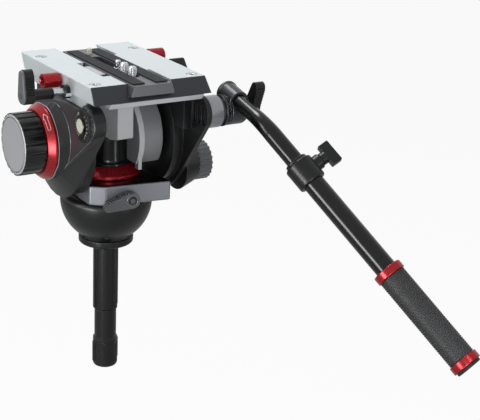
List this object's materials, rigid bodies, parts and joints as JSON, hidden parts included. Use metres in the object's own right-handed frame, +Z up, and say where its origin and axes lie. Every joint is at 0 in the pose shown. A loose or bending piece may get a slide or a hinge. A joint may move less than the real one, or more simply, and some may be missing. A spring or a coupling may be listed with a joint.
{
  "type": "fluid video head",
  "caption": "Fluid tripod head for a video camera: half-ball base with clamp handle, pan and tilt drag, sliding camera plate and a telescopic pan bar.",
  "frame": {"origin": "centre of the half ball", "axes": "+Z up along the pan axis, +X to the pan bar's side along the tilt axis, -Y towards the operator"},
  "size_m": [0.3271, 0.4663, 0.3631],
  "materials": {
    "grey_paint": "satin",
    "silver_paint": "satin",
    "grey_metal": "satin",
    "black_paint": "satin",
    "black_plastic": "matte",
    "black_gloss": "gloss",
    "black_anodised": "satin",
    "black_steel": "satin",
    "rubber": "matte",
    "red_anodised": "satin",
    "aluminium": "machined",
    "steel": "machined",
    "brass": "machined",
    "ivory_plastic": "satin"
  },
  "bodies": {
    "ball": {"half_ball": "black_paint", "clamp_stud": "steel", "pan_spindle": "steel"},
    "clamp_handle": {"clamp_washer": "black_plastic", "clamp_sleeve": "black_plastic", "clamp_grip": "black_plastic"},
    "pan": {"pan_housing": "grey_paint", "pan_bearing": "brass", "neck": "black_paint", "tilt_core": "grey_paint", "drag_cartridge": "aluminium", "counterbalance_spring": "steel", "drum_cover": "black_paint", "tilt_bearing": "brass"},
    "pan_lock": {"pan_lock_lever": "black_plastic", "pan_lock_screw": "steel"},
    "pan_drag": {"pan_drag_ring": "red_anodised"},
    "tilt": {"tilt_axle": "steel", "left_arm": "black_paint", "right_arm": "black_paint", "drag_cone": "black_paint", "tilt_lock_housing": "black_paint", "platform": "grey_paint", "platform_lip": "silver_paint", "corner_screw_1": "black_steel", "corner_screw_2": "black_steel", "corner_screw_3": "black_steel", "corner_screw_4": "black_steel", "left_socket": "red_anodised", "right_socket": "red_anodised", "rosette_disc": "black_steel", "rosette_bolt": "steel"},
    "tilt_drag": {"drag_knob": "black_plastic", "drag_knob_cap": "grey_metal", "index_ring": "red_anodised"},
    "dial": {"balance_dial": "black_plastic"},
    "button": {"light_button": "ivory_plastic"},
    "tilt_lock": {"tilt_lock_knob": "black_plastic"},
    "plate_lock": {"lock_shaft": "steel", "lock_lever": "black_plastic"},
    "jaw": {"plate_jaw": "aluminium"},
    "release": {"release_lever": "black_plastic"},
    "plate": {"camera_plate": "black_anodised", "left_plate_pad": "rubber", "right_plate_pad": "rubber", "guide_pin": "steel"},
    "screw_front": {"camera_screw_front": "steel"},
    "screw_rear": {"camera_screw_rear": "steel"},
    "pin": {"video_pin": "ivory_plastic"},
    "bar": {"bar_rosette_disc": "black_steel", "bar_clamp": "black_plastic", "bar_upper_tube": "black_gloss"},
    "wing": {"wing_lever": "black_plastic"},
    "bar_slide": {"bar_collar": "black_plastic", "bar_lower_tube": "black_gloss", "bar_grip": "rubber", "grip_ring_upper": "red_anodised", "grip_ring_lower": "red_anodised", "bar_end_cap": "black_plastic"},
    "thumb_screw": {"bar_thumb_screw": "black_plastic"}
  },
  "joints": [
    {"name": "clamp_turn", "type": "hinge", "parent": "ball", "child": "clamp_handle", "pos_m": [0, 0, -0.08], "axis": [0, 0, 1], "continuous": true},
    {"name": "pan_turn", "type": "hinge", "parent": "ball", "child": "pan", "pos_m": [0, 0, 0.0078], "axis": [0, 0, 1], "continuous": true},
    {"name": "pan_lock_turn", "type": "hinge", "parent": "pan", "child": "pan_lock", "pos_m": [0.00035, -0.05357, 0.0145], "axis": [-0.1392, -0.9903, 0], "range_deg": [-60, 20]},
    {"name": "pan_drag_turn", "type": "hinge", "parent": "pan", "child": "pan_drag", "pos_m": [0, 0, 0.0296], "axis": [0, 0, 1], "range_deg": [-120, 120]},
    {"name": "tilt_turn", "type": "hinge", "parent": "pan", "child": "tilt", "pos_m": [0, 0, 0.072], "axis": [1, 0, 0], "range_deg": [-90, 70]},
    {"name": "tilt_drag_turn", "type": "hinge", "parent": "tilt", "child": "tilt_drag", "pos_m": [-0.075, 0, 0.072], "axis": [-1, 0, 0], "range_deg": [-150, 150]},
    {"name": "dial_turn", "type": "hinge", "parent": "tilt", "child": "dial", "pos_m": [-0.07, -0.09, 0.112], "axis": [-1, 0, 0], "range_deg": [-150, 150]},
    {"name": "button_press", "type": "slide", "parent": "dial", "child": "button", "axis": [1, 0, 0], "range_m": [0, 0.0012], "stiffness_N_per_m": 500, "springref_m": -0.001},
    {"name": "tilt_lock_turn", "type": "hinge", "parent": "tilt", "child": "tilt_lock", "pos_m": [0.087, -0.031, 0.038], "axis": [1, 0, 0], "range_deg": [-180, 180]},
    {"name": "plate_lock_turn", "type": "hinge", "parent": "tilt", "child": "plate_lock", "pos_m": [-0.07, -0.044, 0.135], "axis": [1, 0, 0], "range_deg": [0, 70]},
    {"name": "jaw_slide", "type": "slide", "parent": "tilt", "child": "jaw", "axis": [-1, 0, 0], "range_m": [0, 0.0015]},
    {"name": "release_turn", "type": "hinge", "parent": "tilt", "child": "release", "pos_m": [0.07, -0.008, 0.13], "axis": [1, 0, 0], "range_deg": [0, 35], "stiffness_Nm_per_rad": 0.1, "springref_deg": -5.73},
    {"name": "plate_slide", "type": "slide", "parent": "tilt", "child": "plate", "axis": [0, 1, 0], "range_m": [-0.035, 0.035]},
    {"name": "screw_front_turn", "type": "hinge", "parent": "plate", "child": "screw_front", "pos_m": [-0.0025, -0.043, 0.148], "axis": [0, 0, 1], "continuous": true},
    {"name": "screw_rear_turn", "type": "hinge", "parent": "plate", "child": "screw_rear", "pos_m": [-0.0025, -0.061, 0.148], "axis": [0, 0, 1], "continuous": true},
    {"name": "pin_press", "type": "slide", "parent": "plate", "child": "pin", "axis": [0, 0, -1], "range_m": [0, 0.004], "stiffness_N_per_m": 300, "springref_m": -0.002},
    {"name": "bar_turn", "type": "hinge", "parent": "tilt", "child": "bar", "pos_m": [0.09, -0.09, 0.11], "axis": [1, 0, 0], "range_deg": [-90, 55]},
    {"name": "wing_turn", "type": "hinge", "parent": "tilt", "child": "wing", "pos_m": [0.12, -0.09, 0.11], "axis": [1, 0, 0], "range_deg": [-120, 30]},
    {"name": "bar_extend", "type": "slide", "parent": "bar", "child": "bar_slide", "axis": [0.3001, -0.7341, -0.6091], "range_m": [-0.025, 0.11]},
    {"name": "thumb_screw_turn", "type": "hinge", "parent": "bar_slide", "child": "thumb_screw", "pos_m": [0.12095, -0.19742, 0.06939], "axis": [0.8757, -0.0412, 0.4811], "range_deg": [-90, 90]}
  ],
  "couplings": [
    {"joint": "jaw_slide", "follows": "plate_lock_turn", "m_per_rad": 0.0012}
  ]
}
